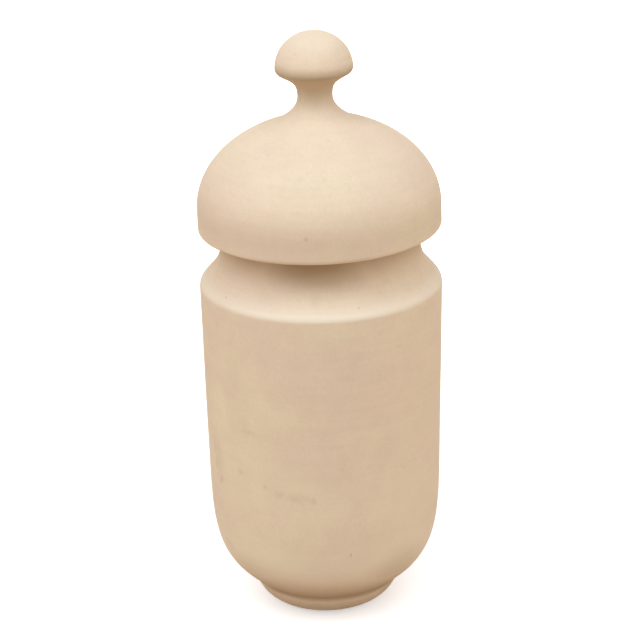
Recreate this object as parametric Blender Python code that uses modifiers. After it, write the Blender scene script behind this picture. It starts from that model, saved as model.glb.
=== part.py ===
"""Lidded vase: an unglazed clay jar on a small rounded foot, and its domed lid with a knob."""
import math

import bpy
from mathutils import Vector
from mathutils.geometry import interpolate_bezier

MM = 0.001
SEGMENTS = 48               # facets round each turned piece

# Vase body, in millimetres and degrees, with heights above the ground
SHOULDER_RADIUS = 66.9      # where the wall and the shoulder would meet in a sharp corner
SHOULDER_HEIGHT = 191.4
SHOULDER_SLOPE = 48.0       # above level
SHOULDER_ROUND = 6.0
SHOULDER_HOLLOW = 10.0      # its rounding inside
SHOULDER_WIDTH = 11.8       # from the wall in to the neck
WALL_TAPER = 1.7            # the wall draws in by this much, down to where the bowl starts
BELLY_HEIGHT = 82.6         # where the bowl starts
BOWL_SLOPE = 34.0           # above level, where the bowl meets the foot
BOWL_PULL_WALL = 40.0       # how far the bowl's curve follows the wall and the foot before it turns
BOWL_PULL_FOOT = 25.6
COVE_RADIUS = 19.2          # hollow curve between the shoulder and the neck
RIM_HEIGHT = 219.5
RIM_ROUND = 1.8
RIM_LEAN = 0.9              # the mouth is out of level by this much, and higher towards +X
WALL = 6.0
FLOOR = 9.0
FLOOR_PULL_MIDDLE = 24.0    # how far the floor stays level before it rises, and its rise into the bowl
FLOOR_PULL_BOWL = 6.5
BELLY_RADIUS = SHOULDER_RADIUS - WALL_TAPER
NECK_RADIUS = SHOULDER_RADIUS - SHOULDER_WIDTH

# Foot
FOOT_HEIGHT = 14.8
FOOT_RADIUS = 41.2          # at its top, under the bowl
FOOT_SLOPE = 85.0           # its side, above level
STAND_RADIUS = 25.8         # outer edge of the flat ring that it stands on
FOOT_PULL_STAND = 4.9       # how far the rolled edge follows the ground and the side before it turns
FOOT_PULL_SIDE = 10.1
RECESS_RADIUS = 18.5
RECESS_DEPTH = 7.0
RECESS_ROUND = 2.5

# Lid, with heights above its seat
LID_INSET = 0.3             # the lid is narrower than the shoulder by this much all round
LIP_WIDTH = 13.0            # rolled lower edge
LIP_HEIGHT = 3.9
LID_SIDE = 10.8             # upright band above the rolled edge
DOME_HEIGHT = 48.8          # to the point that the dome would reach without its knob
LID_WALL = 6.0
LEDGE_ROUND = 3.0
LID_RADIUS = SHOULDER_RADIUS - LID_INSET

# Knob and its stem
CROWN_RADIUS = 26.5         # where the dome turns up into the stem
STEM_RADIUS = 9.5
STEM_HEIGHT = 75.1          # the stem is thinnest here
STEM_PULL_DOME = 3.5
STEM_PULL_UP = 8.6
KNOB_PULL_STEM = 5.9
KNOB_PULL_EDGE = 7.7
KNOB_RADIUS = 21.1
KNOB_EDGE_HEIGHT = 88.6     # lower corner of the knob before it is rounded
KNOB_EDGE_WIDTH = 4.1       # the straight slope under that corner
KNOB_SLOPE = 29.9           # underside, above level
KNOB_EDGE_ROUND = 3.4
KNOB_RISE = 19.8            # from the rounded edge to the top

# Fit of the lid in the mouth
SEAT_GAP = 0.3
FLANGE_CLEARANCE = 1.0      # between the lid's flange and the mouth, all round
FLANGE_WALL = 5.0
FLANGE_DEPTH = 12.0
FLANGE_ROUND = 1.8

CLAY = (0.79, 0.62, 0.44)   # linear colour of the cream-buff clay
CLAY_ROUGHNESS = 0.85


def heading(degrees):
    """Direction in the profile plane, measured up from level."""
    angle = math.radians(degrees)
    return Vector((math.cos(angle), math.sin(angle)))


def curve(start, leave, arrive, end, steps=7):
    """Smooth curve that leaves its start along one pull and arrives at its end along another."""
    start = Vector(start)
    end = Vector(end)
    return interpolate_bezier(start, start + Vector(leave), end - Vector(arrive), end, steps + 1)


def ellipse(centre, width, height, first, last, steps):
    """Stretch of an ellipse between two angles in degrees."""
    points = []
    for step in range(steps + 1):
        direction = heading(first + (last - first) * step / steps)
        points.append(Vector((centre[0] + width * direction.x, centre[1] + height * direction.y)))
    return points


def rounded(before, corner, after, radius, steps=4):
    """Arc that rounds a corner, kept within the two sides that meet there."""
    corner = Vector(corner)
    side_in = Vector(before) - corner
    side_out = Vector(after) - corner
    half = side_in.angle(side_out) / 2
    reach = min(radius / math.tan(half), 0.95 * min(side_in.length, side_out.length))
    radius = reach * math.tan(half)
    centre = corner + (side_in.normalized() + side_out.normalized()).normalized() * radius / math.sin(half)
    start = corner + side_in.normalized() * reach - centre
    sweep = start.angle_signed(corner + side_out.normalized() * reach - centre)
    arc = []
    for step in range(steps + 1):
        turn = -sweep * step / steps
        arc.append(centre + Vector((start.x * math.cos(turn) - start.y * math.sin(turn),
                                    start.x * math.sin(turn) + start.y * math.cos(turn))))
    return arc


def inset(points, depth):
    """The same line moved into the clay by a depth, square to its own direction."""
    moved = []
    for index, point in enumerate(points):
        ahead = (points[min(index + 1, len(points) - 1)] - points[index]).normalized()
        behind = (points[index] - points[max(index - 1, 0)]).normalized()
        along = (ahead + behind).normalized()
        slant = along.dot(ahead if ahead.length else behind)
        moved.append(point + Vector((along.y, -along.x)) * depth / slant)
    return moved


def neck_and_shoulder(corners, cove, edge):
    """Line from the neck down over the shoulder to the wall, with its two corners rounded."""
    rim, neck, shoulder, belly = corners
    return rounded(rim, neck, shoulder, cove, 5) + rounded(neck, shoulder, belly, edge, 6)


def vase_profile():
    """Section of the jar from the middle of its floor, up inside, over the rim and down to its recess."""
    slope = heading(180 - SHOULDER_SLOPE)
    belly = Vector((BELLY_RADIUS, BELLY_HEIGHT))
    shoulder = Vector((SHOULDER_RADIUS, SHOULDER_HEIGHT))
    neck = shoulder + slope * (SHOULDER_WIDTH / -slope.x)
    rim = Vector((NECK_RADIUS, RIM_HEIGHT))
    foot = Vector((FOOT_RADIUS, FOOT_HEIGHT))
    corners = [rim, neck, shoulder, belly]
    bowl = curve(belly, (belly - shoulder).normalized() * BOWL_PULL_WALL,
                 heading(180 + BOWL_SLOPE) * BOWL_PULL_FOOT, foot, 10)
    outside = neck_and_shoulder(corners, COVE_RADIUS, SHOULDER_ROUND) + bowl
    inside_corners = inset(corners, WALL)
    inside = neck_and_shoulder(inside_corners, COVE_RADIUS + WALL, SHOULDER_HOLLOW) + inset(bowl, WALL)
    mouth = inside_corners[0]
    floor = Vector((0, RECESS_DEPTH + FLOOR))
    floor_line = curve(inside[-1], heading(180 + BOWL_SLOPE) * FLOOR_PULL_BOWL,
                       (-FLOOR_PULL_MIDDLE, 0), floor, 6)
    profile = floor_line[::-1] + inside[-2::-1]
    profile += rounded(inside[0], mouth, rim, RIM_ROUND, 3)
    profile += rounded(mouth, rim, outside[0], RIM_ROUND, 3)
    profile += outside
    stand = Vector((STAND_RADIUS, 0))
    profile += curve(foot, heading(180 + FOOT_SLOPE) * FOOT_PULL_SIDE, (-FOOT_PULL_STAND, 0), stand, 6)[1:]
    recess_edge = Vector((RECESS_RADIUS, 0))
    recess_corner = Vector((RECESS_RADIUS, RECESS_DEPTH))
    recess_top = Vector((0, RECESS_DEPTH))
    profile += rounded(stand, recess_edge, recess_corner, RECESS_ROUND, 3)
    profile += rounded(recess_edge, recess_corner, recess_top, RECESS_ROUND, 3)
    return profile + [recess_top]


def lid_profile():
    """Section of the lid from the top of its knob, down outside, round its flange and up into the dome."""
    knob_edge = Vector((KNOB_RADIUS, KNOB_EDGE_HEIGHT))
    under_knob = knob_edge - heading(KNOB_SLOPE) * KNOB_EDGE_WIDTH
    knob_side = knob_edge + Vector((0, KNOB_RISE))
    edge = rounded(knob_side, knob_edge, under_knob, KNOB_EDGE_ROUND, 4)
    profile = ellipse((0, edge[0].y), KNOB_RADIUS, KNOB_RISE, 90, 0, 8)[:-1] + edge
    waist = Vector((STEM_RADIUS, STEM_HEIGHT))
    profile += curve(under_knob, heading(180 + KNOB_SLOPE) * KNOB_PULL_EDGE, (0, -KNOB_PULL_STEM), waist, 6)
    shoulder_height = LIP_HEIGHT + LID_SIDE
    crown_angle = math.degrees(math.acos(CROWN_RADIUS / LID_RADIUS))
    crown = heading(crown_angle)
    dome = ellipse((0, shoulder_height), LID_RADIUS, DOME_HEIGHT, crown_angle, 0, 10)
    down_dome = Vector((LID_RADIUS * crown.y, -DOME_HEIGHT * crown.x)).normalized()
    profile += curve(waist, (0, -STEM_PULL_UP), down_dome * STEM_PULL_DOME, dome[0], 6)[1:-1] + dome
    profile += ellipse((LID_RADIUS - LIP_WIDTH, LIP_HEIGHT), LIP_WIDTH, LIP_HEIGHT, 0, -90, 6)
    flange_outer = NECK_RADIUS - WALL - FLANGE_CLEARANCE
    flange_inner = flange_outer - FLANGE_WALL
    seat = Vector((flange_outer, 0))
    flange_out = Vector((flange_outer, -FLANGE_DEPTH))
    flange_in = Vector((flange_inner, -FLANGE_DEPTH))
    ledge = Vector((flange_inner, LID_WALL))
    hollow = Vector((LID_RADIUS - LID_WALL, LIP_HEIGHT + LID_WALL))
    hollow_top = Vector((LID_RADIUS - LID_WALL, shoulder_height))
    profile.append(seat)
    profile += rounded(seat, flange_out, flange_in, FLANGE_ROUND, 3)
    profile += rounded(flange_out, flange_in, ledge, FLANGE_ROUND, 3)
    profile += rounded(flange_in, ledge, hollow, LEDGE_ROUND, 3)
    profile += rounded(ledge, hollow, hollow_top, LEDGE_ROUND, 3)
    return profile + ellipse((0, shoulder_height), hollow.x, DOME_HEIGHT - LID_WALL, 0, 90, 9)


def clay(name):
    """Unglazed fired clay."""
    material = bpy.data.materials.new(name)
    material.use_nodes = True
    shader = material.node_tree.nodes["Principled BSDF"]
    shader.inputs["Base Color"].default_value = (*CLAY, 1)
    shader.inputs["Roughness"].default_value = CLAY_ROUGHNESS
    shader.inputs["Metallic"].default_value = 0
    return material


def turned(name, profile, collection):
    """Piece made by turning a section round the upright axis."""
    mesh = bpy.data.meshes.new(name)
    points = [(radius * MM, 0, height * MM) for radius, height in profile]
    mesh.from_pydata(points, [(index, index + 1) for index in range(len(points) - 1)], [])
    piece = bpy.data.objects.new(name, mesh)
    piece.data.materials.append(clay(name + "_clay"))
    collection.objects.link(piece)
    screw = piece.modifiers.new("Turned", "SCREW")
    screw.steps = SEGMENTS
    screw.render_steps = SEGMENTS
    screw.use_merge_vertices = True
    screw.merge_threshold = 0.00001
    screw.use_smooth_shade = True
    return piece


def lean_rim(vase):
    """Tip the mouth out of level: each point of the neck rises with its distance towards +X."""
    neck_height = SHOULDER_HEIGHT + SHOULDER_WIDTH * math.tan(math.radians(SHOULDER_SLOPE))
    bpy.context.view_layer.update()
    evaluated = vase.evaluated_get(bpy.context.evaluated_depsgraph_get())
    vase.data = bpy.data.meshes.new_from_object(evaluated)
    vase.modifiers.clear()
    for vertex in vase.data.vertices:
        share = (vertex.co.z / MM - neck_height) / (RIM_HEIGHT - neck_height)
        vertex.co.z += max(share, 0) * vertex.co.x * math.tan(math.radians(RIM_LEAN))
    vase.data.shade_smooth()
    vase.data.set_sharp_from_angle(angle=math.radians(40))


def main():
    for obj in list(bpy.data.objects):
        bpy.data.objects.remove(obj, do_unlink=True)
    collection = bpy.data.collections.new("lidded_vase")
    bpy.context.scene.collection.children.link(collection)
    vase = turned("vase_body", vase_profile(), collection)
    lean_rim(vase)
    lid = turned("lid", lid_profile(), collection)
    lid.location = (0, 0, (RIM_HEIGHT + SEAT_GAP) * MM)
    lid.rotation_euler = (0, -math.radians(RIM_LEAN), 0)


main()
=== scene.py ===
"""Lidded vase of unglazed cream clay: its fine surface, its finish, the light and the camera."""
import math

import bpy
from mathutils import Matrix, Vector
from mathutils.geometry import interpolate_bezier


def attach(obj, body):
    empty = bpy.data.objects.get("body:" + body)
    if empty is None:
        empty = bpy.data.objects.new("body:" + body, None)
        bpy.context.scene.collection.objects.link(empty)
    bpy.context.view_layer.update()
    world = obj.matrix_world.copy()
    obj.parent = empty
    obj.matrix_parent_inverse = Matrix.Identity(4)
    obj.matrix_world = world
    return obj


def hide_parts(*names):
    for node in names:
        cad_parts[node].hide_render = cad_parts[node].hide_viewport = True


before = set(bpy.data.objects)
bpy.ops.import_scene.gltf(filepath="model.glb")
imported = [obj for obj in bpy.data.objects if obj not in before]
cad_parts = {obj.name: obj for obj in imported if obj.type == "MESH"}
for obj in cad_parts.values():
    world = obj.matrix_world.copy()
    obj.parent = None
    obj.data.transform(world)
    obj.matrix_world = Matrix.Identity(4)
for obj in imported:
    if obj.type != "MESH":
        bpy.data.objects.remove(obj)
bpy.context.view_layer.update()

MM = 0.001
FACETS = 224                # round each turned piece
FINENESS = 3                # points on a curve, for each one that it needs at the least
ROUND_SHARE = 0.95          # the most of a side that the rounding of its corner may take up
MERGE_DISTANCE = 1e-6       # closes the seam of a turned piece, in metres

# Vase body, as its solid has it, in millimetres and degrees, with heights above the ground
SHOULDER_RADIUS = 66.9
SHOULDER_HEIGHT = 191.4
SHOULDER_SLOPE = 48.0
SHOULDER_ROUND = 6.0
SHOULDER_HOLLOW = 10.0
SHOULDER_WIDTH = 11.8
WALL_TAPER = 1.7
BELLY_HEIGHT = 82.6
BOWL_SLOPE = 34.0
BOWL_PULL_WALL = 40.0
BOWL_PULL_FOOT = 25.6
COVE_RADIUS = 19.2
RIM_HEIGHT = 219.5
RIM_ROUND = 1.8
RIM_LEAN = 0.9
WALL = 6.0
FLOOR = 9.0
FLOOR_PULL_MIDDLE = 24.0
FLOOR_PULL_BOWL = 6.5
BELLY_RADIUS = SHOULDER_RADIUS - WALL_TAPER
NECK_RADIUS = SHOULDER_RADIUS - SHOULDER_WIDTH

# Foot
FOOT_HEIGHT = 14.8
FOOT_RADIUS = 41.2
FOOT_SLOPE = 85.0
STAND_RADIUS = 25.8
FOOT_PULL_STAND = 4.9
FOOT_PULL_SIDE = 10.1
RECESS_RADIUS = 18.5
RECESS_DEPTH = 7.0
RECESS_ROUND = 2.5

# Lid, with heights above its seat
LID_INSET = 0.3
LIP_WIDTH = 13.0
LIP_HEIGHT = 3.9
LID_SIDE = 10.8
DOME_HEIGHT = 48.8
LID_WALL = 6.0
LEDGE_ROUND = 3.0
LID_RADIUS = SHOULDER_RADIUS - LID_INSET

# Knob and its stem
CROWN_RADIUS = 26.5
STEM_RADIUS = 9.5
STEM_HEIGHT = 75.1
STEM_PULL_DOME = 3.5
STEM_PULL_UP = 8.6
KNOB_PULL_STEM = 5.9
KNOB_PULL_EDGE = 7.7
KNOB_RADIUS = 21.1
KNOB_EDGE_HEIGHT = 88.6
KNOB_EDGE_WIDTH = 4.1
KNOB_SLOPE = 29.9
KNOB_EDGE_ROUND = 3.4
KNOB_RISE = 19.8

# Fit of the lid in the mouth
SEAT_GAP = 0.3
FLANGE_CLEARANCE = 1.0
FLANGE_WALL = 5.0
FLANGE_DEPTH = 12.0
FLANGE_ROUND = 1.8

# Marks of the wheel: the clay is out of round by a little, but for the seat, where the pieces meet
WOBBLE = 0.12
WOBBLE_SIZE = 55.0
WOBBLE_SEED = 7.0
CALM_BAND = 12.0            # no wobble this far above and below the seat

# Camera, from the photograph's perspective, in millimetres and degrees
CAMERA_PLACE = (0.0, -1132.96, 599.27)
CAMERA_TILT_DOWN = 20.915
CAMERA_TURN = 0.053
CAMERA_ROLL = 1.229
CAMERA_LENS = 122.82
CAMERA_SENSOR = 36.0
CAMERA_NEAR = 10.0          # nothing closer than this is drawn

# Colours
CLAY_PINK = "E5CEB6"
CLAY_CREAM = "E8D5B8"
# Paler clay, mixed in as painted highlight and painted light on the jar, and at the top of the knob
PALE_CLAY_AND_HIGHLIGHT = "F1E3CE"
# Brown of the painted shade, and of the pores
SHADE_AND_PORE_BROWN = "9C7C57"
SCUFF_TAUPE = "A68C74"
FLOOR_BEIGE = "DDCCB6"
FLOOR_WHITE = "F2F2F2"
KEY_TINT = "EDF6FF"
FILL_TINT = "FFF6ED"

# Floor, in millimetres: light is added to it for the eye alone, less by the vase than far from it
FLOOR_SIZE = 8000.0
FLOOR_GAP = 0.05            # keeps the floor clear of the foot ring
FLOOR_NEAR = 150.0
FLOOR_FAR = 800.0
FLOOR_LIFT_NEAR = 0.5
FLOOR_LIFT_FAR = 1.0

# Panels of light, all aimed at one point: place and size in metres, power in watts, and tint
LIT_POINT = (0, 0, 0.16)
PANELS = {
    "overhead": ((0, -0.63, 1.90), (2.2, 1.2), 13.2, KEY_TINT),
    "front": ((0, -1.12, 1.62), (2.2, 1.6), 9.7, KEY_TINT),
    "left": ((-1.05, -0.55, 1.50), (1.1, 1.1), 8.9, KEY_TINT),
    "right": ((1.05, -0.55, 1.50), (1.1, 1.1), 3.6, KEY_TINT),
    "low_left": ((-1.68, 0, 0.40), (1.1, 0.6), 1.9, FILL_TINT),
    "low_right": ((1.68, 0, 0.40), (1.1, 0.6), 3.6, FILL_TINT),
    "back": ((0, 1.55, 0.70), (1.8, 1.0), 7.0, FILL_TINT),
}
SURROUND = 0.36             # strength of the even light from all round

# Sizes of the clay's patterns, in millimetres: the real rings, grit and pores are finer than this, and are
# drawn as coarse as they need to be to show in the render
BLOTCH_SIZE = 46.0
CLOUD_SIZE = 12.0
RING_PITCH = 2.2
GRIT_SIZE = 1.5
SCUFF_GRAIN = 2.6
PORE_SPACING = 9.0
PORE_RADIUS = 0.45
RELIEF = 0.1                # depth of the rings, the grit and the pores

# How strong the clay's patterns are
BLOTCH_START = 0.40         # a blotch starts to show at this value of its noise, and shows fully at the next
BLOTCH_FULL = 0.65
BLOTCH_MOST = 0.60
CLOUD_SWING = 0.030         # lighter and darker than the clay by this share
RING_SWING = 0.016
GRIT_SWING = 0.022
RINGS_OUT = 0.6             # the rings are counted outwards and downwards at once,
RINGS_DOWN = 0.8            # so that they show on level and on upright clay
SCUFF_START = 0.35          # the grain breaks a scuff up between these values of its noise
SCUFF_FULL = 0.65
SCUFF_LEAST = 0.45
PORE_SHADE = 0.25
PORE_CHANCE = 0.3           # of the pattern's cells that hold a pore
RELIEF_SHARE = 0.3
SPOT_CORE = 0.1             # a mark is at its full strength this far out, as a share of its half size
NOISE_LOW = 0.25            # a noise pattern mostly stays between these values
NOISE_HIGH = 0.75
PATTERN_TIP = (0.6, 0.4, 0.3)   # keeps the grids of the patterns off the clay's level faces, in radians

# Shine of the clay, dull and a little uneven
ROUGH_LEAST = 0.78
ROUGH_MOST = 0.92
CLAY_IOR = 1.5
CLAY_SPECULAR = 0.35

# Colour sockets of a Mix node, which share their names with its other sockets
MIX_UNDER = 6
MIX_OVER = 7
MIX_RESULT = 2

# Where the clay fired creamier than the rest: degrees round from the front, height above the ground or above
# the lid's seat, half the width, half the height, and how much
JAR_CREAM = (
    (-43, 96, 34, 44, 0.90),
    (-61, 126, 26, 34, 0.95),
    (-34, 54, 34, 26, 0.95),
    (46, 113, 18, 30, 0.55),
)
LID_CREAM = ((0, 38, 80, 26, 0.85),)

# Bands of painted shade, under the lid, round the lid's lip and up its side, under the knob and round the
# foot, and of paler clay, which is painted highlight along the shoulder's edge and painted light low on the
# bowl and wall, and is paler at the top of the knob: height above the ground, how far a band fades below and
# above it, and how much
JAR_SHADE_BANDS = ((222.0, 18.0, 8.0, 0.47), (15.3, 5.0, 21.0, 0.77), (7.0, 10.0, 8.0, 0.18))
LID_SHADE_BANDS = ((219.0, 4.0, 4.0, 0.50), (232.0, 14.0, 20.0, 0.11), (308.5, 20.0, 7.0, 0.62))
JAR_LIGHT_BANDS = ((191.7, 2.2, 8.0, 0.55), (42.0, 16.0, 22.0, 0.45), (80.0, 50.0, 50.0, 0.10))
LID_PALE_BANDS = ((327.0, 8.0, 8.0, 0.15),)

# Painted shade and painted highlight in single places, given as the creamy ones are: shade under the lid at
# the front, low on both sides of the bowl and on the right of the foot, and a highlight along the front of
# the shoulder's edge
JAR_SHADE_SPOTS = (
    (-4, 219, 47, 19.5, 0.73),
    (42, 34, 28, 22, 0.26),
    (-44, 31, 24, 18, 0.14),
    (59, 9, 18, 10, 0.32),
)
JAR_HIGHLIGHT_SPOTS = ((-4, 191.9, 105, 3.4, 0.95),)

# Scuffs and pits, given as the creamy places are
JAR_MARKS = (
    (-64, 96, 8, 22, 0.15),
    (-68, 103, 2.4, 8, 0.30),
    (-66, 93.5, 2.2, 7, 0.38),
    (-62, 84.5, 3, 3.6, 0.40),
    (-45, 96, 3.8, 3.6, 0.16),
    (-30, 91.5, 2.2, 2.4, 0.18),
    (-22, 88.5, 5, 3.6, 0.18),
    (-14, 87, 13, 4.2, 0.15),
    (-6, 86, 3.4, 3.4, 0.22),
    (-36, 64, 3.4, 3.4, 0.12),
    (-60, 44.5, 8, 5, 0.14),
    (12, 52, 0.9, 2.2, 0.42),
    (-39, 121.5, 9, 3.4, 0.17),
    (-41, 127, 7, 4.6, 0.14),
    (19, 72.5, 2.5, 2, 0.09),
    (8, 104.5, 1.6, 2, 0.10),
    (41, 98, 1.8, 2, 0.13),
    (-48, 172, 2.4, 3.4, 0.10),
    (38, 170.5, 3.2, 1.2, 0.16),
    (-53, 195, 0.9, 0.9, 0.60),
    (-24, 194, 0.8, 0.7, 0.50),
    (18, 195.5, 1, 0.8, 0.55),
    (38, 205, 5, 3, 0.10),
    (-3, 200, 6, 6, 0.14),
)
LID_MARKS = (
    (-6, 16.5, 2.2, 1.9, 0.32),
    (-10, 44.5, 2.6, 2.4, 0.13),
    (-37, 52.5, 2.6, 2, 0.10),
    (12, 58, 1.5, 1.2, 0.14),
    (4, 44, 2.8, 1.8, 0.10),
    (17, 10.5, 1.4, 1.2, 0.10),
    (-33, 101.5, 2.4, 1, 0.20),
    (71, 97, 1, 1.8, 0.55),
)


def heading(degrees):
    """Direction in the plane of the section, measured up from level."""
    angle = math.radians(degrees)
    return Vector((math.cos(angle), math.sin(angle)))


def curve(start, leave, arrive, end, steps):
    """Smooth curve that leaves its start along one pull and arrives at its end along another."""
    start = Vector(start)
    end = Vector(end)
    count = steps * FINENESS + 1
    return interpolate_bezier(start, start + Vector(leave), end - Vector(arrive), end, count)


def ellipse(centre, width, height, first, last, steps):
    """Stretch of an ellipse between two angles in degrees."""
    points = []
    for step in range(steps * FINENESS + 1):
        direction = heading(first + (last - first) * step / (steps * FINENESS))
        points.append(Vector((centre[0] + width * direction.x, centre[1] + height * direction.y)))
    return points


def line(start, end, steps):
    """Points inside a straight stretch, without its two ends."""
    return [Vector(start).lerp(Vector(end), step / steps) for step in range(1, steps)]


def rounded(before, corner, after, radius, steps):
    """Arc that rounds a corner, kept within the two sides that meet there."""
    corner = Vector(corner)
    side_in = Vector(before) - corner
    side_out = Vector(after) - corner
    half = side_in.angle(side_out) / 2
    reach = min(radius / math.tan(half), ROUND_SHARE * min(side_in.length, side_out.length))
    radius = reach * math.tan(half)
    centre = corner + (side_in.normalized() + side_out.normalized()).normalized() * radius / math.sin(half)
    start = corner + side_in.normalized() * reach - centre
    sweep = start.angle_signed(corner + side_out.normalized() * reach - centre)
    arc = []
    for step in range(steps * FINENESS + 1):
        turn = -sweep * step / (steps * FINENESS)
        arc.append(centre + Vector((start.x * math.cos(turn) - start.y * math.sin(turn),
                                    start.x * math.sin(turn) + start.y * math.cos(turn))))
    return arc


def inset(points, depth):
    """The same line moved into the clay by a depth, square to its own direction."""
    moved = []
    for index, point in enumerate(points):
        ahead = (points[min(index + 1, len(points) - 1)] - points[index]).normalized()
        behind = (points[index] - points[max(index - 1, 0)]).normalized()
        along = (ahead + behind).normalized()
        slant = along.dot(ahead if ahead.length else behind)
        moved.append(point + Vector((along.y, -along.x)) * depth / slant)
    return moved


def neck_and_shoulder(corners, cove, edge):
    """Line from the neck down over the shoulder and the wall, with its two corners rounded."""
    rim, neck, shoulder, belly = corners
    drawn = rounded(rim, neck, shoulder, cove, 5) + rounded(neck, shoulder, belly, edge, 6)
    return drawn + line(drawn[-1], belly, 16)


def vase_section():
    """Section of the jar from the middle of its floor, up inside, over the rim and down to its recess."""
    slope = heading(180 - SHOULDER_SLOPE)
    belly = Vector((BELLY_RADIUS, BELLY_HEIGHT))
    shoulder = Vector((SHOULDER_RADIUS, SHOULDER_HEIGHT))
    neck = shoulder + slope * (SHOULDER_WIDTH / -slope.x)
    rim = Vector((NECK_RADIUS, RIM_HEIGHT))
    foot = Vector((FOOT_RADIUS, FOOT_HEIGHT))
    corners = [rim, neck, shoulder, belly]
    bowl = curve(belly, (belly - shoulder).normalized() * BOWL_PULL_WALL,
                 heading(180 + BOWL_SLOPE) * BOWL_PULL_FOOT, foot, 10)
    outside = neck_and_shoulder(corners, COVE_RADIUS, SHOULDER_ROUND) + bowl
    inside_corners = inset(corners, WALL)
    inside = neck_and_shoulder(inside_corners, COVE_RADIUS + WALL, SHOULDER_HOLLOW) + inset(bowl, WALL)
    mouth = inside_corners[0]
    floor = Vector((0, RECESS_DEPTH + FLOOR))
    floor_line = curve(inside[-1], heading(180 + BOWL_SLOPE) * FLOOR_PULL_BOWL,
                       (-FLOOR_PULL_MIDDLE, 0), floor, 6)
    section = floor_line[::-1] + inside[-2::-1]
    section += rounded(inside[0], mouth, rim, RIM_ROUND, 3)
    section += rounded(mouth, rim, outside[0], RIM_ROUND, 3)
    section += outside
    stand = Vector((STAND_RADIUS, 0))
    rolled_edge = curve(foot, heading(180 + FOOT_SLOPE) * FOOT_PULL_SIDE, (-FOOT_PULL_STAND, 0), stand, 6)
    section += rolled_edge[1:]
    recess_edge = Vector((RECESS_RADIUS, 0))
    recess_corner = Vector((RECESS_RADIUS, RECESS_DEPTH))
    recess_top = Vector((0, RECESS_DEPTH))
    section += rounded(stand, recess_edge, recess_corner, RECESS_ROUND, 3)
    section += rounded(recess_edge, recess_corner, recess_top, RECESS_ROUND, 3)
    return section + line(section[-1], recess_top, 6) + [recess_top]


def lid_section():
    """Section of the lid from the top of its knob, down outside, round its flange and up into the dome."""
    knob_edge = Vector((KNOB_RADIUS, KNOB_EDGE_HEIGHT))
    under_knob = knob_edge - heading(KNOB_SLOPE) * KNOB_EDGE_WIDTH
    knob_side = knob_edge + Vector((0, KNOB_RISE))
    edge = rounded(knob_side, knob_edge, under_knob, KNOB_EDGE_ROUND, 4)
    section = ellipse((0, edge[0].y), KNOB_RADIUS, KNOB_RISE, 90, 0, 8)[:-1] + edge
    waist = Vector((STEM_RADIUS, STEM_HEIGHT))
    section += curve(under_knob, heading(180 + KNOB_SLOPE) * KNOB_PULL_EDGE, (0, -KNOB_PULL_STEM), waist, 6)
    shoulder_height = LIP_HEIGHT + LID_SIDE
    crown_angle = math.degrees(math.acos(CROWN_RADIUS / LID_RADIUS))
    crown = heading(crown_angle)
    dome = ellipse((0, shoulder_height), LID_RADIUS, DOME_HEIGHT, crown_angle, 0, 10)
    down_dome = Vector((LID_RADIUS * crown.y, -DOME_HEIGHT * crown.x)).normalized()
    section += curve(waist, (0, -STEM_PULL_UP), down_dome * STEM_PULL_DOME, dome[0], 6)[1:-1] + dome
    lip = ellipse((LID_RADIUS - LIP_WIDTH, LIP_HEIGHT), LIP_WIDTH, LIP_HEIGHT, 0, -90, 6)
    section += line(dome[-1], lip[0], 5) + lip
    flange_outer = NECK_RADIUS - WALL - FLANGE_CLEARANCE
    flange_inner = flange_outer - FLANGE_WALL
    seat = Vector((flange_outer, 0))
    flange_out = Vector((flange_outer, -FLANGE_DEPTH))
    flange_in = Vector((flange_inner, -FLANGE_DEPTH))
    ledge = Vector((flange_inner, LID_WALL))
    hollow = Vector((LID_RADIUS - LID_WALL, LIP_HEIGHT + LID_WALL))
    hollow_top = Vector((LID_RADIUS - LID_WALL, shoulder_height))
    section.append(seat)
    section += rounded(seat, flange_out, flange_in, FLANGE_ROUND, 3)
    section += rounded(flange_out, flange_in, ledge, FLANGE_ROUND, 3)
    section += rounded(flange_in, ledge, hollow, LEDGE_ROUND, 3)
    section += rounded(ledge, hollow, hollow_top, LEDGE_ROUND, 3)
    return section + ellipse((0, shoulder_height), hollow.x, DOME_HEIGHT - LID_WALL, 0, 90, 9)


def linear(hex_colour):
    """Linear colour from an sRGB hex value."""
    channels = []
    for start in (0, 2, 4):
        value = int(hex_colour[start:start + 2], 16) / 255
        channels.append(value / 12.92 if value <= 0.04045 else ((value + 0.055) / 1.055) ** 2.4)
    return (*channels, 1.0)


def add(tree, kind, links, **settings):
    """Add a node: its settings, and for each input a value or the socket that feeds it."""
    node = tree.nodes.new(kind)
    for name, value in settings.items():
        setattr(node, name, value)
    for name, value in links.items():
        if isinstance(value, bpy.types.NodeSocket):
            tree.links.new(value, node.inputs[name])
        else:
            node.inputs[name].default_value = value
    return node


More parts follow.
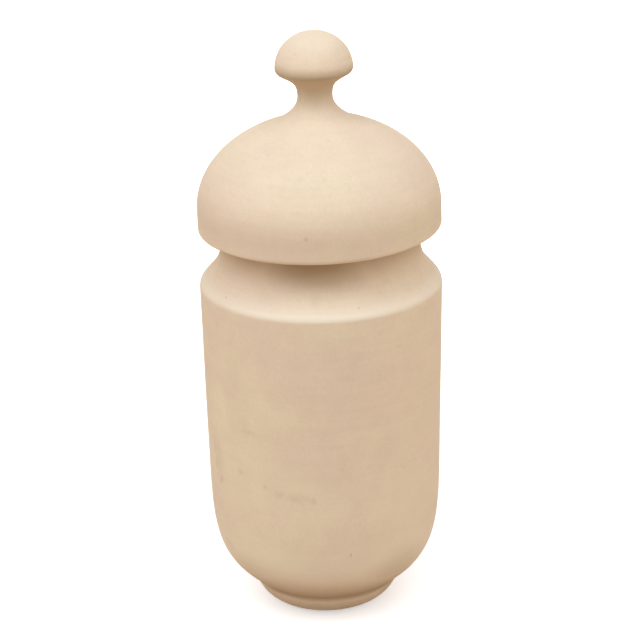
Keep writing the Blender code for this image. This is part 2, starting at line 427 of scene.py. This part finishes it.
def turned_section(tree, given, place):
    """Nodes that turn a section round the upright axis, as a grid that is closed at its seam."""
    rows = add(tree, "GeometryNodeAttributeDomainSize", {"Geometry": given["Section"]},
               component="MESH").outputs["Point Count"]
    columns = add(tree, "ShaderNodeMath", {0: given["Facets"], 1: 1.0}, operation="ADD")
    grid = add(tree, "GeometryNodeMeshGrid", {"Vertices X": columns.outputs[0], "Vertices Y": rows})
    index = tree.nodes.new("GeometryNodeInputIndex").outputs[0]
    row = add(tree, "ShaderNodeMath", {0: index, 1: rows}, operation="MODULO")
    share = add(tree, "ShaderNodeMath", {0: index, 1: rows}, operation="DIVIDE")
    column = add(tree, "ShaderNodeMath", {0: share.outputs[0]}, operation="FLOOR")
    part_turn = add(tree, "ShaderNodeMath", {0: column.outputs[0], 1: given["Facets"]}, operation="DIVIDE")
    angle = add(tree, "ShaderNodeMath", {0: part_turn.outputs[0], 1: math.tau}, operation="MULTIPLY")
    point = add(tree, "GeometryNodeSampleIndex", {"Geometry": given["Section"], "Value": place,
                                                  "Index": row.outputs[0]}, data_type="FLOAT_VECTOR")
    turned = add(tree, "ShaderNodeVectorRotate", {"Vector": point.outputs[0], "Angle": angle.outputs[0]},
                 rotation_type="Z_AXIS")
    shaped = add(tree, "GeometryNodeSetPosition", {"Geometry": grid.outputs["Mesh"],
                                                   "Position": turned.outputs[0]})
    closed = add(tree, "GeometryNodeMergeByDistance", {"Geometry": shaped.outputs[0],
                                                       "Distance": MERGE_DISTANCE})
    return closed.outputs[0]


def wheel_wobble(tree, given, place):
    """Nodes for how far each point of the clay is out of round, which is nothing at the seat."""
    pitch = add(tree, "ShaderNodeMath", {0: 1.0, 1: given["Wobble Size"]}, operation="DIVIDE")
    noise = add(tree, "ShaderNodeTexNoise", {"Vector": place, "W": given["Seed"], "Scale": pitch.outputs[0],
                                             "Detail": 1.0}, noise_dimensions="4D")
    swing = add(tree, "ShaderNodeMapRange", {"Value": noise.outputs[0], "From Min": NOISE_LOW,
                                             "From Max": NOISE_HIGH, "To Min": -1.0, "To Max": 1.0})
    height = add(tree, "ShaderNodeSeparateXYZ", {"Vector": place}).outputs["Z"]
    above = add(tree, "ShaderNodeMath", {0: height, 1: given["Calm Height"]}, operation="SUBTRACT")
    away = add(tree, "ShaderNodeMath", {0: above.outputs[0]}, operation="ABSOLUTE")
    double = add(tree, "ShaderNodeMath", {0: given["Calm Band"], 1: 2.0}, operation="MULTIPLY")
    free = add(tree, "ShaderNodeMapRange", {"Value": away.outputs[0], "From Min": given["Calm Band"],
                                            "From Max": double.outputs[0]}, interpolation_type="SMOOTHSTEP")
    depth = add(tree, "ShaderNodeMath", {0: free.outputs[0], 1: given["Wobble"]}, operation="MULTIPLY")
    offset = add(tree, "ShaderNodeMath", {0: swing.outputs[0], 1: depth.outputs[0]}, operation="MULTIPLY")
    outward = tree.nodes.new("GeometryNodeInputNormal").outputs[0]
    push = add(tree, "ShaderNodeVectorMath", {0: outward, "Scale": offset.outputs[0]}, operation="SCALE")
    return push.outputs[0]


def turning_tree():
    """Geometry nodes that turn a piece from its section, as clay is turned on a wheel."""
    tree = bpy.data.node_groups.new("turned_clay", "GeometryNodeTree")
    for name, kind in (("Section", "Geometry"), ("Facets", "Int"), ("Wobble", "Float"),
                       ("Wobble Size", "Float"), ("Calm Height", "Float"), ("Calm Band", "Float"),
                       ("Seed", "Float"), ("Clay", "Material")):
        tree.interface.new_socket(name, in_out="INPUT", socket_type="NodeSocket" + kind)
    tree.interface.new_socket("Piece", in_out="OUTPUT", socket_type="NodeSocketGeometry")
    given = tree.nodes.new("NodeGroupInput").outputs
    place = tree.nodes.new("GeometryNodeInputPosition").outputs[0]
    turned = turned_section(tree, given, place)
    wobbled = add(tree, "GeometryNodeSetPosition", {"Geometry": turned,
                                                    "Offset": wheel_wobble(tree, given, place)})
    smooth = add(tree, "GeometryNodeSetShadeSmooth", {0: wobbled.outputs[0]})
    real = add(tree, "GeometryNodeRealizeInstances", {0: smooth.outputs[0]})
    painted = add(tree, "GeometryNodeSetMaterial", {0: real.outputs[0], "Material": given["Clay"]})
    add(tree, "NodeGroupOutput", {"Piece": painted.outputs[0]})
    return tree


def turn_piece(name, section, calm_height, clay, tree):
    """Turn one piece from its section, and leave it as a plain mesh."""
    drawn = bpy.data.meshes.new(name + "_section")
    points = [(radius * MM, 0, height * MM) for radius, height in section]
    drawn.from_pydata(points, [(index, index + 1) for index in range(len(points) - 1)], [])
    piece = bpy.data.objects.new(name, drawn)
    bpy.context.scene.collection.objects.link(piece)
    wheel = piece.modifiers.new("Wheel", "NODES")
    wheel.node_group = tree
    values = {"Facets": FACETS, "Wobble": WOBBLE * MM, "Wobble Size": WOBBLE_SIZE * MM,
              "Calm Height": calm_height * MM, "Calm Band": CALM_BAND * MM,
              "Seed": WOBBLE_SEED, "Clay": clay}
    for socket in tree.interface.items_tree:
        if socket.in_out == "INPUT" and socket.name in values:
            wheel[socket.identifier] = values[socket.name]
    bpy.context.view_layer.update()
    made = piece.evaluated_get(bpy.context.evaluated_depsgraph_get())
    piece.data = bpy.data.meshes.new_from_object(made)
    piece.modifiers.clear()
    return piece


def outside_radius(section, height):
    """Radius of a turned piece's outside at a height."""
    radii = []
    for start, end in zip(section, section[1:]):
        if min(start.y, end.y) <= height < max(start.y, end.y):
            radii.append(start.lerp(end, (height - start.y) / (end.y - start.y)).x)
    return max(radii)


def laid_on(section, seat, marks):
    """Middle, half the size each way and strength of marks that lie on a turned piece's outside."""
    laid = []
    for turn, height, half_width, half_height, strength in marks:
        radius = outside_radius(section, height)
        angle = math.radians(turn)
        middle = seat @ Vector((radius * math.sin(angle), -radius * math.cos(angle), height))
        laid.append((middle, (half_width, half_width, half_height), strength))
    return laid


def vase_piece(tree):
    """The jar, with its mouth tipped out of level as the solid's is."""
    section = vase_section()
    cream, highlight_spots, shade_spots, marks = [laid_on(section, Matrix.Identity(4), given)
                                    for given in (JAR_CREAM, JAR_HIGHLIGHT_SPOTS, JAR_SHADE_SPOTS, JAR_MARKS)]
    clay = unglazed_clay("unglazed_clay_jar", cream, JAR_LIGHT_BANDS, highlight_spots, JAR_SHADE_BANDS, shade_spots, marks)
    piece = turn_piece("vase_clay", section, RIM_HEIGHT, clay, tree)
    neck_height = SHOULDER_HEIGHT + SHOULDER_WIDTH * math.tan(math.radians(SHOULDER_SLOPE))
    for vertex in piece.data.vertices:
        share = (vertex.co.z / MM - neck_height) / (RIM_HEIGHT - neck_height)
        vertex.co.z += max(share, 0) * vertex.co.x * math.tan(math.radians(RIM_LEAN))

        # The wobble takes no clay below the ground
        vertex.co.z = max(vertex.co.z, 0)
    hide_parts("vase_body")
    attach(piece, "vase")


def lid_piece(tree):
    """The lid, set square on the leaning rim."""
    section = lid_section()
    lean = Matrix.Rotation(-math.radians(RIM_LEAN), 4, "Y")
    seat = Matrix.Translation((0, 0, RIM_HEIGHT + SEAT_GAP)) @ lean
    cream, marks = [laid_on(section, seat, given) for given in (LID_CREAM, LID_MARKS)]
    clay = unglazed_clay("unglazed_clay_lid", cream, LID_PALE_BANDS, (), LID_SHADE_BANDS, (), marks)
    piece = turn_piece("lid_clay", section, 0.0, clay, tree)
    piece.data.transform(Matrix.Translation((0, 0, (RIM_HEIGHT + SEAT_GAP) * MM)) @ lean)
    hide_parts("lid")
    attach(piece, "lid")


def spots(tree, place, marks):
    """How much of a soft mark lies at each point: its strength at the middle, and nothing past its edge."""
    most = 0.0
    for middle, half_size, strength in marks:
        away = add(tree, "ShaderNodeVectorMath", {0: place, 1: middle}, operation="SUBTRACT")
        scaled = add(tree, "ShaderNodeVectorMath", {0: away.outputs[0], 1: half_size}, operation="DIVIDE")
        reach = add(tree, "ShaderNodeVectorMath", {0: scaled.outputs[0]}, operation="LENGTH")
        mark = add(tree, "ShaderNodeMapRange", {"Value": reach.outputs["Value"], "From Min": 1.0,
                                                "From Max": SPOT_CORE, "To Max": strength},
                   interpolation_type="SMOOTHSTEP")
        most = add(tree, "ShaderNodeMath", {0: most, 1: mark.outputs[0]}, operation="MAXIMUM").outputs[0]
    return most


def bands(tree, height, rings):
    """How much of a soft band lies at each height: its share at the middle, fading to nothing each way."""
    most = 0.0
    for middle, below, above, share in rings:
        away = add(tree, "ShaderNodeMath", {0: height, 1: middle}, operation="SUBTRACT").outputs[0]
        up = add(tree, "ShaderNodeMath", {0: away, 1: above}, operation="DIVIDE")
        down = add(tree, "ShaderNodeMath", {0: away, 1: -below}, operation="DIVIDE")
        off = add(tree, "ShaderNodeMath", {0: up.outputs[0], 1: down.outputs[0]}, operation="MAXIMUM")
        band = add(tree, "ShaderNodeMapRange", {"Value": off.outputs[0], "From Min": 1.0, "From Max": 0.0,
                                                "To Max": share}, interpolation_type="SMOOTHSTEP")
        most = add(tree, "ShaderNodeMath", {0: most, 1: band.outputs[0]}, operation="MAXIMUM").outputs[0]
    return most


def kiln_colour(tree, place, tipped, cream):
    """Colour that the kiln gave: pinker and creamier in broad blotches, and creamy in places of its own."""
    noise = add(tree, "ShaderNodeTexNoise", {"Vector": tipped, "Scale": 1 / BLOTCH_SIZE, "Detail": 2.0})
    blotch = add(tree, "ShaderNodeMapRange", {"Value": noise.outputs[0], "From Min": BLOTCH_START,
                                              "From Max": BLOTCH_FULL, "To Max": BLOTCH_MOST},
                 interpolation_type="SMOOTHSTEP")
    share = add(tree, "ShaderNodeMath", {0: blotch.outputs[0], 1: spots(tree, place, cream)},
                operation="MAXIMUM")
    return add(tree, "ShaderNodeMix", {0: share.outputs[0], MIX_UNDER: linear(CLAY_PINK),
                                       MIX_OVER: linear(CLAY_CREAM)}, data_type="RGBA").outputs[MIX_RESULT]


def turning_rings(tree, level, height):
    """Pattern of faint rings that turning leaves, which drift a little on their way round."""
    radius = add(tree, "ShaderNodeVectorMath", {0: level}, operation="LENGTH").outputs["Value"]
    out = add(tree, "ShaderNodeMath", {0: radius, 1: RINGS_OUT / RING_PITCH}, operation="MULTIPLY")
    down = add(tree, "ShaderNodeMath", {0: height, 1: RINGS_DOWN / RING_PITCH}, operation="MULTIPLY")
    along = add(tree, "ShaderNodeMath", {0: out.outputs[0], 1: down.outputs[0]}, operation="SUBTRACT")
    drift = add(tree, "ShaderNodeVectorMath", {0: level, "Scale": 1 / BLOTCH_SIZE}, operation="SCALE")
    side = add(tree, "ShaderNodeSeparateXYZ", {0: drift.outputs[0]}).outputs
    ring = add(tree, "ShaderNodeCombineXYZ", {"X": side["X"], "Y": side["Y"], "Z": along.outputs[0]})
    return add(tree, "ShaderNodeTexNoise", {"Vector": ring.outputs[0], "Scale": 1.0,
                                            "Detail": 2.0}).outputs[0]


def scuffs(tree, place, tipped, marks):
    """How much of a scuff or a pit lies at each point, broken up by the grain of the clay."""
    grain = add(tree, "ShaderNodeTexNoise", {"Vector": tipped, "Scale": 1 / SCUFF_GRAIN, "Detail": 3.0})
    patchy = add(tree, "ShaderNodeMapRange", {"Value": grain.outputs[0], "From Min": SCUFF_START,
                                              "From Max": SCUFF_FULL, "To Min": SCUFF_LEAST})
    return add(tree, "ShaderNodeMath", {0: spots(tree, place, marks), 1: patchy.outputs[0]},
               operation="MULTIPLY").outputs[0]


def pores(tree, tipped):
    """Pattern that is 1 in a pore and 0 elsewhere: some cells hold one, at its widest in only a few."""
    cells = add(tree, "ShaderNodeTexVoronoi", {"Vector": tipped, "Scale": 1 / PORE_SPACING})
    chance = add(tree, "ShaderNodeSeparateColor", {0: cells.outputs["Color"]})
    width = add(tree, "ShaderNodeMapRange", {"Value": chance.outputs[0], "From Min": 1 - PORE_CHANCE,
                                             "From Max": 1.0, "To Max": PORE_RADIUS / PORE_SPACING})
    return add(tree, "ShaderNodeMath", {0: cells.outputs["Distance"], 1: width.outputs[0]},
               operation="LESS_THAN").outputs[0]


def unglazed_clay(name, cream, pale_bands, highlight_spots, shade_bands, shade_spots, marks):
    """Earthenware fired without glaze and sponged smooth on the wheel."""
    # To the eye it is soft and dull, with no shine: warm cream that turns a little pinker here and there,
    # faintly ringed and gritty, paler where highlight and light are painted on the jar's shoulder edge and
    # low down, paler at the top of the knob, and painted brown shade under the lid, under the knob and round
    # the foot
    material = bpy.data.materials.new(name)
    material.use_nodes = True
    tree = material.node_tree
    tree.nodes.clear()
    metres = tree.nodes.new("ShaderNodeTexCoord").outputs["Object"]
    place = add(tree, "ShaderNodeVectorMath", {0: metres, "Scale": 1 / MM}, operation="SCALE").outputs[0]
    tipped = add(tree, "ShaderNodeVectorRotate", {"Vector": place, "Rotation": PATTERN_TIP},
                 rotation_type="EULER_XYZ").outputs[0]
    split = add(tree, "ShaderNodeSeparateXYZ", {0: place}).outputs
    level = add(tree, "ShaderNodeCombineXYZ", {"X": split["X"], "Y": split["Y"]}).outputs[0]
    height = split["Z"]

    # Mottling, turning rings and grit, lighter and darker than the clay
    colour = kiln_colour(tree, place, tipped, cream)
    cloud = add(tree, "ShaderNodeTexNoise", {"Vector": tipped, "Scale": 1 / CLOUD_SIZE, "Detail": 4.0,
                                             "Roughness": 0.6}).outputs[0]
    rings = turning_rings(tree, level, height)
    grit = add(tree, "ShaderNodeTexNoise", {"Vector": tipped, "Scale": 1 / GRIT_SIZE,
                                            "Detail": 2.0}).outputs[0]
    for pattern, swing in ((cloud, CLOUD_SWING), (rings, RING_SWING), (grit, GRIT_SWING)):
        shade = add(tree, "ShaderNodeMapRange", {"Value": pattern, "From Min": NOISE_LOW,
                                                 "From Max": NOISE_HIGH, "To Min": 1 - swing,
                                                 "To Max": 1 + swing}).outputs[0]
        colour = add(tree, "ShaderNodeVectorMath", {0: colour, "Scale": shade}, operation="SCALE").outputs[0]

    # What lies over the clay, in turn: paler clay, which on the jar is painted highlight and painted light,
    # brown painted shade, scuffs and dark pores
    pale = add(tree, "ShaderNodeMath", {0: bands(tree, height, pale_bands), 1: spots(tree, place, highlight_spots)},
               operation="MAXIMUM").outputs[0]
    shaded = add(tree, "ShaderNodeMath", {0: bands(tree, height, shade_bands), 1: spots(tree, place, shade_spots)},
                 operation="MAXIMUM").outputs[0]
    scuffed = scuffs(tree, place, tipped, marks)
    pore = pores(tree, tipped)
    dark = add(tree, "ShaderNodeMath", {0: pore, 1: PORE_SHADE}, operation="MULTIPLY").outputs[0]
    for share, over in ((pale, PALE_CLAY_AND_HIGHLIGHT), (shaded, SHADE_AND_PORE_BROWN), (scuffed, SCUFF_TAUPE),
                        (dark, SHADE_AND_PORE_BROWN)):
        colour = add(tree, "ShaderNodeMix", {0: share, MIX_UNDER: colour, MIX_OVER: linear(over)},
                     data_type="RGBA").outputs[MIX_RESULT]

    # Rings and grit stand up, and pores are sunk
    raised = add(tree, "ShaderNodeMath", {0: grit, 1: rings}, operation="ADD").outputs[0]
    relief = add(tree, "ShaderNodeMath", {0: raised, 1: pore}, operation="SUBTRACT").outputs[0]
    bump = add(tree, "ShaderNodeBump", {"Strength": RELIEF_SHARE, "Distance": RELIEF * MM,
                                        "Height": relief}).outputs[0]
    dull = add(tree, "ShaderNodeMapRange", {"Value": cloud, "To Min": ROUGH_LEAST,
                                            "To Max": ROUGH_MOST}).outputs[0]
    shader = add(tree, "ShaderNodeBsdfPrincipled", {"Base Color": colour, "Roughness": dull, "IOR": CLAY_IOR,
                                                    "Specular IOR Level": CLAY_SPECULAR, "Normal": bump})
    add(tree, "ShaderNodeOutputMaterial", {"Surface": shader.outputs[0]})
    return material


def seen_directly(tree):
    """1 on the rays by which the eye, a shine or glass sees a surface, so that all show the same white."""
    path = tree.nodes.new("ShaderNodeLightPath").outputs
    seen = path["Is Camera Ray"]
    for kind in ("Is Glossy Ray", "Is Transmission Ray"):
        seen = add(tree, "ShaderNodeMath", {0: seen, 1: path[kind]}, operation="MAXIMUM").outputs[0]
    return seen


def pale_paper():
    """Smooth matt paper: it looks white, keeps the vase's shadow and throws a warm light up at it."""
    material = bpy.data.materials.new("pale_paper")
    material.use_nodes = True
    tree = material.node_tree
    tree.nodes.clear()
    place = tree.nodes.new("ShaderNodeTexCoord").outputs["Object"]
    away = add(tree, "ShaderNodeVectorMath", {0: place}, operation="LENGTH").outputs["Value"]
    lift = add(tree, "ShaderNodeMapRange", {"Value": away, "From Min": FLOOR_NEAR * MM,
                                            "From Max": FLOOR_FAR * MM, "To Min": FLOOR_LIFT_NEAR,
                                            "To Max": FLOOR_LIFT_FAR}).outputs[0]
    paper = add(tree, "ShaderNodeBsdfDiffuse", {"Color": linear(FLOOR_BEIGE)})
    white = add(tree, "ShaderNodeBsdfDiffuse", {"Color": linear(FLOOR_WHITE)})
    glow = add(tree, "ShaderNodeEmission", {"Strength": lift})
    lifted = add(tree, "ShaderNodeAddShader", {0: white.outputs[0], 1: glow.outputs[0]})
    shown = add(tree, "ShaderNodeMixShader", {0: seen_directly(tree), 1: paper.outputs[0],
                                              2: lifted.outputs[0]})

    # From below the floor is clear, and under the foot too, so that the underside can be seen and is lit
    below = tree.nodes.new("ShaderNodeNewGeometry").outputs["Backfacing"]
    covered = add(tree, "ShaderNodeMath", {0: away, 1: STAND_RADIUS * MM}, operation="LESS_THAN").outputs[0]
    hidden = add(tree, "ShaderNodeMath", {0: below, 1: covered}, operation="MAXIMUM").outputs[0]
    clear = add(tree, "ShaderNodeBsdfTransparent", {})
    whole = add(tree, "ShaderNodeMixShader", {0: hidden, 1: shown.outputs[0], 2: clear.outputs[0]})
    add(tree, "ShaderNodeOutputMaterial", {"Surface": whole.outputs[0]})
    return material


def pale_floor():
    """Pale floor that the vase stands on."""
    bpy.ops.mesh.primitive_plane_add(size=FLOOR_SIZE * MM, location=(0, 0, -FLOOR_GAP * MM))
    floor = bpy.context.object
    floor.name = "floor"
    floor.data.materials.append(pale_paper())


def light_panel(name, place, size, power, tint):
    """Soft panel of light, aimed at the vase."""
    light = bpy.data.lights.new(name, "AREA")
    light.shape = "RECTANGLE"
    light.size, light.size_y = size
    light.energy = power
    light.color = linear(tint)[:3]
    lamp = bpy.data.objects.new(name, light)
    lamp.location = place
    lamp.rotation_euler = (Vector(LIT_POINT) - Vector(place)).to_track_quat("-Z", "Y").to_euler()
    bpy.context.scene.collection.objects.link(lamp)


def studio_light():
    """Soft panels overhead, in front, behind and to both sides, and an even surround that looks white."""
    for name, (place, size, power, tint) in PANELS.items():
        light_panel(name, place, size, power, tint)
    world = bpy.data.worlds.new("surround")
    bpy.context.scene.world = world
    world.use_nodes = True
    tree = world.node_tree
    tree.nodes.clear()
    even = add(tree, "ShaderNodeBackground", {"Color": linear(FILL_TINT), "Strength": SURROUND})
    white = add(tree, "ShaderNodeBackground", {"Color": (1, 1, 1, 1), "Strength": 1.0})
    choice = add(tree, "ShaderNodeMixShader", {0: seen_directly(tree), 1: even.outputs[0],
                                               2: white.outputs[0]})
    add(tree, "ShaderNodeOutputWorld", {"Surface": choice.outputs[0]})


def portrait_camera():
    """Camera where the photograph was taken from."""
    camera = bpy.data.cameras.new("portrait")
    camera.lens = CAMERA_LENS
    camera.sensor_width = CAMERA_SENSOR
    camera.clip_start = CAMERA_NEAR * MM
    holder = bpy.data.objects.new("portrait", camera)
    turn = Matrix.Rotation(math.radians(CAMERA_TURN), 4, "Z")
    tilt = Matrix.Rotation(math.radians(90 - CAMERA_TILT_DOWN), 4, "X")
    roll = Matrix.Rotation(-math.radians(CAMERA_ROLL), 4, "Z")
    holder.matrix_world = Matrix.Translation(Vector(CAMERA_PLACE) * MM) @ turn @ tilt @ roll
    bpy.context.scene.collection.objects.link(holder)
    bpy.context.scene.camera = holder


wheel_tree = turning_tree()
vase_piece(wheel_tree)
lid_piece(wheel_tree)
pale_floor()
studio_light()
portrait_camera()
bpy.context.scene.view_settings.view_transform = "Standard"
